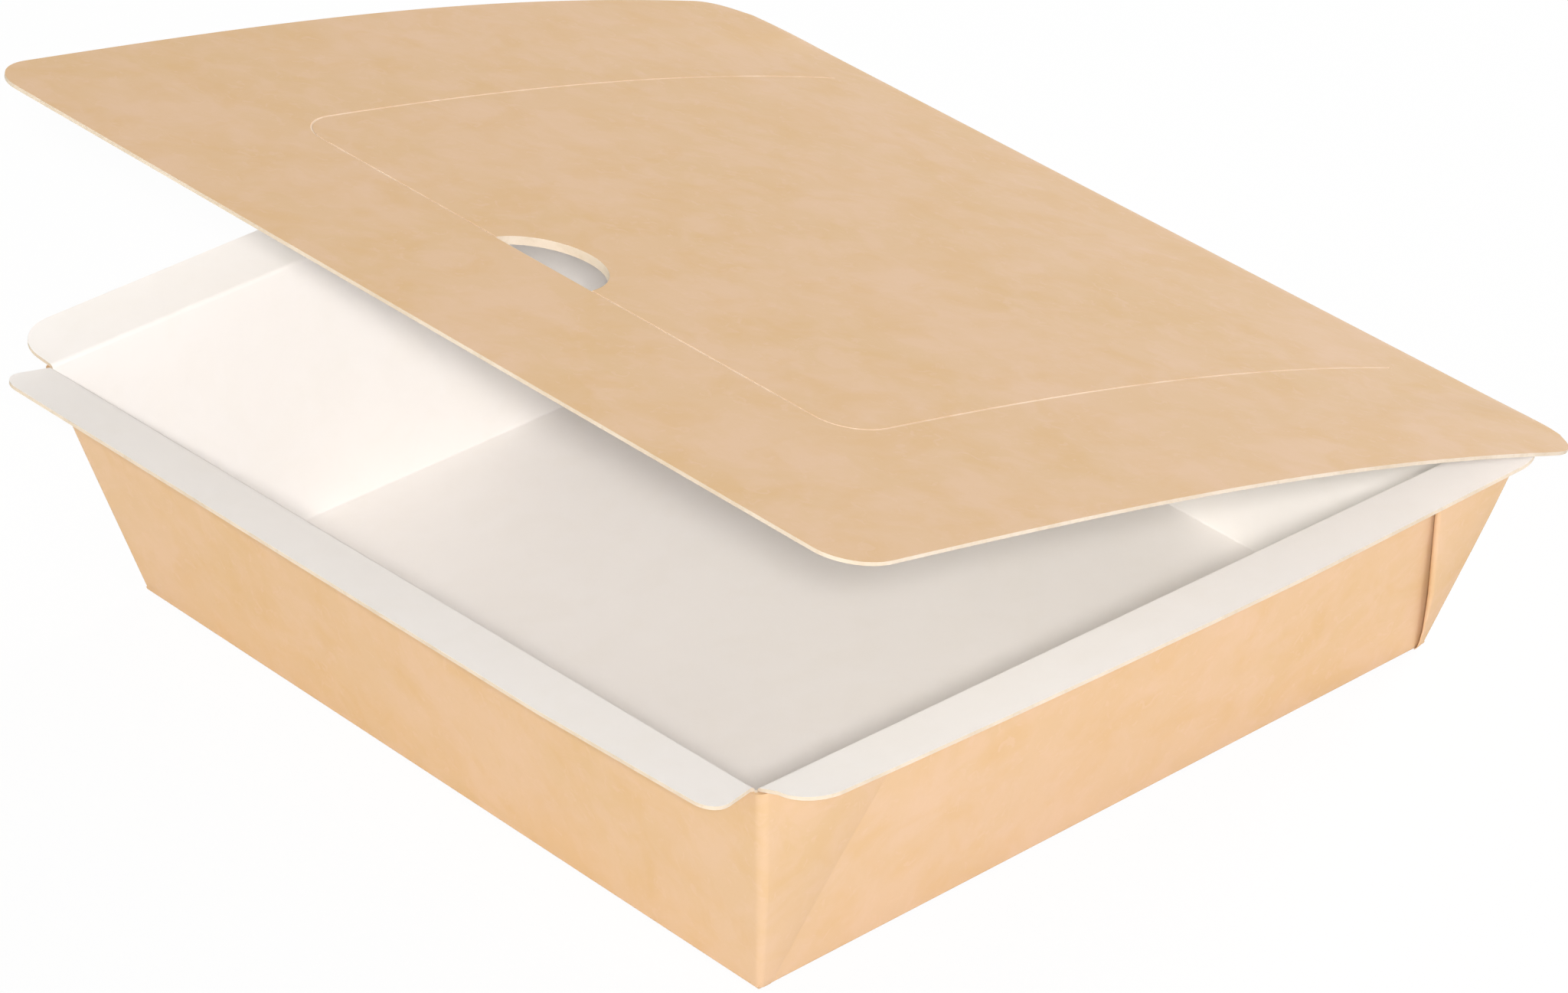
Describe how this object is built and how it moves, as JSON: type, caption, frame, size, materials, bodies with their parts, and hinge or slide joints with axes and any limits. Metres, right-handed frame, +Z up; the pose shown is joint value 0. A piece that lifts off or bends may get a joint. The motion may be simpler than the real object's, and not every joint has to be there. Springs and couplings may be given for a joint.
{
  "type": "takeaway box",
  "caption": "Folded kraft paperboard takeaway box: a flared tray with webbed corners and a flat rim, and a bowed hinged lid with a tear panel and thumb notch.",
  "frame": {"origin": "centre of the floor's underside", "axes": "+Z up from the floor, the hinge at +Y, the lid's free edge at -Y, X along the hinge"},
  "size_m": [0.196, 0.1705, 0.0864],
  "materials": {
    "board": "matte kraft outside, smooth white coating inside"
  },
  "bodies": {
    "tray": {"tray": "board"},
    "lid": {"lid": "board"}
  },
  "joints": [
    {"name": "lid_hinge", "type": "hinge", "parent": "tray", "child": "lid", "pos_m": [0, 0.07975, 0.04225], "axis": [-1, 0, 0], "range_deg": [-15, 150]}
  ]
}
